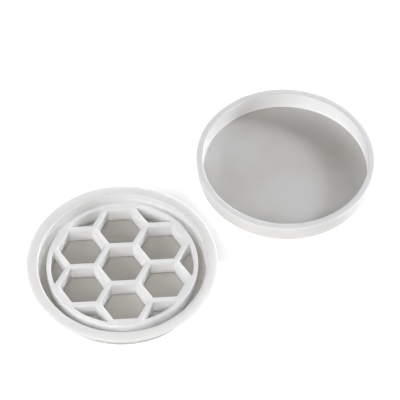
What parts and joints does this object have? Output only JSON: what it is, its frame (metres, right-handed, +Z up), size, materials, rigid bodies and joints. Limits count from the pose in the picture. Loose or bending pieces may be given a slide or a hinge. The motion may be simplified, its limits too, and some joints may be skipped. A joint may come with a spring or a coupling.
{
  "type": "candle mould set",
  "caption": "Round silicone candle mould set: a shallow flanged tray holding a honeycomb grid inside a ring of its own, and a plain round cup.",
  "frame": {"origin": "on the table, in the middle of the box round the laid-out set", "axes": "+Z up, out of the open tops; -Y the front; +X to the right, from the tray towards the cup, which also stands further back"},
  "size_m": [0.1914, 0.1726, 0.0134],
  "materials": {
    "tray_silicone": "satin milky white",
    "grid_silicone": "satin milky white",
    "cup_silicone": "satin milky white"
  },
  "bodies": {
    "tray": {"flanged_tray": "tray_silicone"},
    "grid": {"honeycomb_grid": "grid_silicone"},
    "cup": {"round_cup": "cup_silicone"}
  },
  "joints": [
    {"name": "grid_lift", "type": "slide", "parent": "tray", "child": "grid", "axis": [0, 0, 1], "range_m": [0, 0.04]},
    {"name": "cup_lift", "type": "slide", "parent": "tray", "child": "cup", "axis": [0, 0, 1], "range_m": [0, 0.05]}
  ]
}
